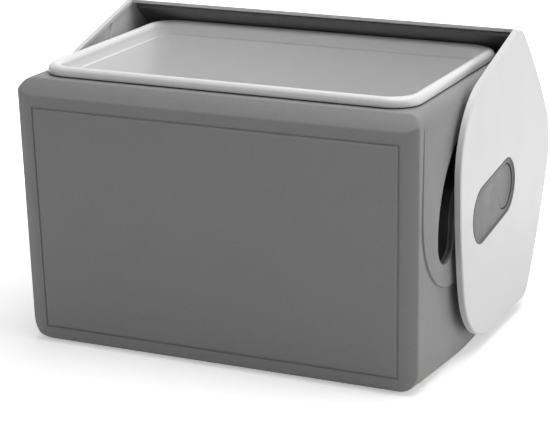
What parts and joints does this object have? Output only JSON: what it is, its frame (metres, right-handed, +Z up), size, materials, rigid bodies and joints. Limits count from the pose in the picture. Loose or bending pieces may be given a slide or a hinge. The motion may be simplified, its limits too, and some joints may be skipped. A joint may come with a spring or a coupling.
{
  "type": "personal cooler",
  "caption": "Personal tent-top cooler: insulated moulded tub whose lid swings to either side on end pivots, with a push button lock and a carrying arch.",
  "frame": {"origin": "centre of the foot's face, on the surface that the cooler stands on", "axes": "+X along the length to the button's end, +Y towards the back, where the lid lies open, +Z up"},
  "size_m": [0.3656, 0.3446, 0.2521],
  "materials": {
    "shell_plastic": "fine grained grey moulding",
    "liner_plastic": "smooth white moulding",
    "lid_plastic": "smooth white moulding",
    "lid_liner_plastic": "dark grey moulding",
    "cover_plastic": "mid grey moulding",
    "dark_plastic": "dark grey moulding",
    "pin_plastic": "hard engineering plastic",
    "spring_steel": "plain steel",
    "foam": "rigid foam, sealed inside"
  },
  "bodies": {
    "body": {"outer_shell": "shell_plastic", "foam_core": "foam", "liner": "liner_plastic", "rim_gasket": "dark_plastic", "fill_plugs": "shell_plastic", "latch_track_right": "dark_plastic", "latch_track_left": "dark_plastic", "detent_leaf": "spring_steel", "pivot_pin_right": "pin_plastic", "pivot_pin_left": "pin_plastic"},
    "lid": {"lid_shell": "lid_plastic", "lid_liner": "lid_liner_plastic", "lid_foam": "foam", "carry_handle": "lid_plastic", "handle_screws": "spring_steel", "hub_bush_right": "pin_plastic", "hub_bush_left": "pin_plastic", "hub_cover_right": "cover_plastic", "hub_cover_left": "cover_plastic", "button_guide": "pin_plastic", "track_follower": "pin_plastic", "guide_screws": "spring_steel", "button_spring": "spring_steel"},
    "button": {"push_button": "cover_plastic", "button_stem": "pin_plastic"}
  },
  "joints": [
    {"name": "lid_swing", "type": "hinge", "parent": "body", "child": "lid", "pos_m": [0, 0, 0.1175], "axis": [1, 0, 0], "range_deg": [0, 165.02], "deforming": ["detent_leaf"]},
    {"name": "button_push", "type": "slide", "parent": "lid", "child": "button", "axis": [-1, 0, 0], "range_m": [0, 0.004], "stiffness_N_per_m": 800, "deforming": ["button_spring"]}
  ]
}
